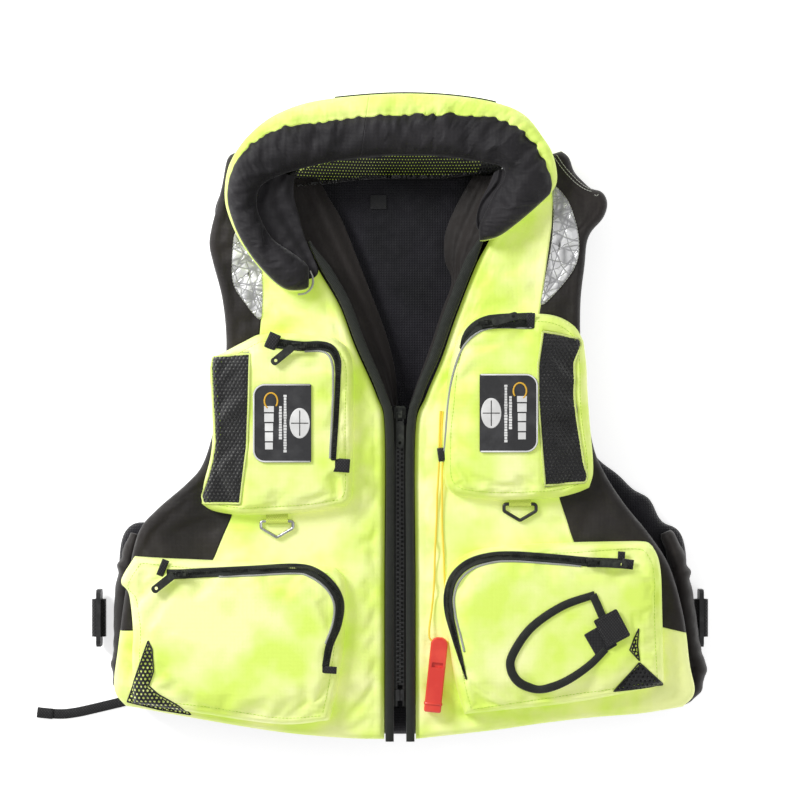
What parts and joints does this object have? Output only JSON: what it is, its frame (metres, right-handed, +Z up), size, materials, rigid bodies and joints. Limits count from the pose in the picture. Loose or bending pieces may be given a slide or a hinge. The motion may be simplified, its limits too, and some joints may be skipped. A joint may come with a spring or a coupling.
{
  "type": "buoyancy vest",
  "caption": "Foam-filled buoyancy vest lying flat: horseshoe collar, full-length front zip, zipped chest and cargo pockets, mesh pouches, D-rings, side adjusters and a whistle.",
  "frame": {"origin": "on the floor, under the middle of the vest as it lies on its back with the zip shut", "axes": "+Z up out of the front, +Y from the hem to the collar, +X to the wearer's left"},
  "size_m": [0.6866, 0.649, 0.1061],
  "materials": {
    "bright_cloth": "woven",
    "dark_cloth": "woven",
    "lining_cloth": "knitted mesh lining",
    "collar_cloth": "brushed knit",
    "mesh_cloth": "open mesh",
    "foam": "closed-cell foam",
    "binding_tape": "ribbed tape",
    "webbing": "woven webbing",
    "bright_webbing": "woven webbing",
    "reflective": "crinkled reflective film",
    "teeth": "moulded",
    "zip_coil": "nylon coil",
    "badge": "moulded",
    "ring_steel": "polished",
    "ring_black": "moulded",
    "slider_metal": "black enamel",
    "pull_rubber": "moulded",
    "whistle_red": "moulded",
    "cord_yellow": "braided",
    "buckle": "moulded",
    "hook_loop": "hook and loop",
    "label_cloth": "satin"
  },
  "bodies": {
    "back": {"back_cover": "dark_cloth", "back_foam": "foam", "back_lining": "lining_cloth", "neck_label": "label_cloth", "shoulder_yokes": "dark_cloth", "collar_rim": "bright_cloth", "collar_roll": "collar_cloth", "collar_foam": "foam", "collar_mesh": "mesh_cloth", "side_panels": "dark_cloth", "side_straps": "webbing", "side_buckles": "buckle", "free_strap": "webbing"},
    "right_front": {"right_front_cover": "bright_cloth", "right_front_foam": "foam", "right_front_lining": "lining_cloth", "right_neck_facing": "dark_cloth", "right_front_binding": "binding_tape", "right_zip_half": "teeth", "right_reflector": "reflective", "right_collar_wing": "collar_cloth", "right_chest_pocket": "bright_cloth", "right_chest_label": "badge", "right_cargo_pocket": "bright_cloth", "right_mesh_panels": "mesh_cloth", "right_pocket_zips": "zip_coil", "right_ring_loop": "bright_webbing"},
    "left_front": {"left_front_cover": "bright_cloth", "left_front_foam": "foam", "left_front_lining": "lining_cloth", "left_neck_facing": "dark_cloth", "left_front_binding": "binding_tape", "left_zip_half": "teeth", "left_reflector": "reflective", "left_collar_wing": "collar_cloth", "left_chest_pocket": "bright_cloth", "left_chest_label": "badge", "left_cargo_pocket": "bright_cloth", "left_mesh_panels": "mesh_cloth", "left_pocket_zips": "zip_coil", "left_ring_loop": "bright_webbing", "flap_binding": "binding_tape"},
    "main_slider": {"main_slider": "slider_metal"},
    "main_pull": {"main_pull": "pull_rubber"},
    "right_d_ring": {"right_d_ring": "ring_steel"},
    "left_d_ring": {"left_d_ring": "ring_black"},
    "whistle": {"whistle": "whistle_red", "whistle_cord": "cord_yellow"},
    "flap_tab": {"flap_tab": "hook_loop"},
    "right_chest_slider": {"right_chest_slider": "slider_metal"},
    "right_chest_pull": {"right_chest_pull": "pull_rubber"},
    "left_chest_slider": {"left_chest_slider": "slider_metal"},
    "left_chest_pull": {"left_chest_pull": "pull_rubber"},
    "right_cargo_slider": {"right_cargo_slider": "slider_metal"},
    "right_cargo_pull": {"right_cargo_pull": "pull_rubber"},
    "left_cargo_slider": {"left_cargo_slider": "slider_metal"},
    "left_cargo_pull": {"left_cargo_pull": "pull_rubber"}
  },
  "joints": [
    {"name": "right_front_swing", "type": "hinge", "parent": "back", "child": "right_front", "pos_m": [-0.304, -0.3, 0.046], "axis": [-0.1815, -0.9834, 0], "range_deg": [0, 100]},
    {"name": "left_front_swing", "type": "hinge", "parent": "back", "child": "left_front", "pos_m": [0.304, -0.3, 0.046], "axis": [-0.1815, 0.9834, 0], "range_deg": [0, 100]},
    {"name": "main_zip", "type": "slide", "parent": "right_front", "child": "main_slider", "axis": [0, -1, 0], "range_m": [0, 0.262]},
    {"name": "main_pull_flip", "type": "hinge", "parent": "main_slider", "child": "main_pull", "pos_m": [0, 0.005, 0.0655], "axis": [-1, 0, 0], "range_deg": [0, 180]},
    {"name": "right_chest_zip", "type": "slide", "parent": "right_front", "child": "right_chest_slider", "axis": [0.9994, 0.0349, 0], "range_m": [0, 0.022]},
    {"name": "right_chest_pull_flip", "type": "hinge", "parent": "right_chest_slider", "child": "right_chest_pull", "pos_m": [-0.098, 0.07125, 0.1016], "axis": [-0.0349, 0.9994, 0], "range_deg": [0, 180]},
    {"name": "left_chest_zip", "type": "slide", "parent": "left_front", "child": "left_chest_slider", "axis": [0.9981, 0.061, 0], "range_m": [0, 0.038]},
    {"name": "left_chest_pull_flip", "type": "hinge", "parent": "left_chest_slider", "child": "left_chest_pull", "pos_m": [0.083, 0.09455, 0.1016], "axis": [0.061, -0.9981, 0], "range_deg": [0, 180]},
    {"name": "right_cargo_zip", "type": "slide", "parent": "right_front", "child": "right_cargo_slider", "axis": [0.9998, 0.0192, 0], "range_m": [0, 0.105]},
    {"name": "right_cargo_pull_flip", "type": "hinge", "parent": "right_cargo_slider", "child": "right_cargo_pull", "pos_m": [-0.216, -0.15475, 0.1036], "axis": [-0.0192, 0.9998, 0], "range_deg": [0, 180]},
    {"name": "left_cargo_zip", "type": "slide", "parent": "left_front", "child": "left_cargo_slider", "axis": [-0.9997, 0.0262, 0], "range_m": [0, 0.085]},
    {"name": "left_cargo_pull_flip", "type": "hinge", "parent": "left_cargo_slider", "child": "left_cargo_pull", "pos_m": [0.19, -0.14325, 0.1036], "axis": [-0.0262, -0.9997, 0], "range_deg": [0, 180]},
    {"name": "right_d_ring_flip", "type": "hinge", "parent": "right_front", "child": "right_d_ring", "pos_m": [-0.123, -0.103, 0.0756], "axis": [-1, 0, 0], "range_deg": [0, 90]},
    {"name": "left_d_ring_flip", "type": "hinge", "parent": "left_front", "child": "left_d_ring", "pos_m": [0.12, -0.086, 0.0756], "axis": [-1, 0, 0], "range_deg": [0, 90]},
    {"name": "whistle_lift", "type": "hinge", "parent": "left_front", "child": "whistle", "pos_m": [0.0408, -0.0456, 0.081], "axis": [-1, 0, 0], "range_deg": [0, 90]},
    {"name": "flap_tab_lift", "type": "hinge", "parent": "left_front", "child": "flap_tab", "pos_m": [0.20296, -0.19476, 0.1021], "axis": [-0.8829, -0.4695, 0], "range_deg": [0, 150]}
  ]
}
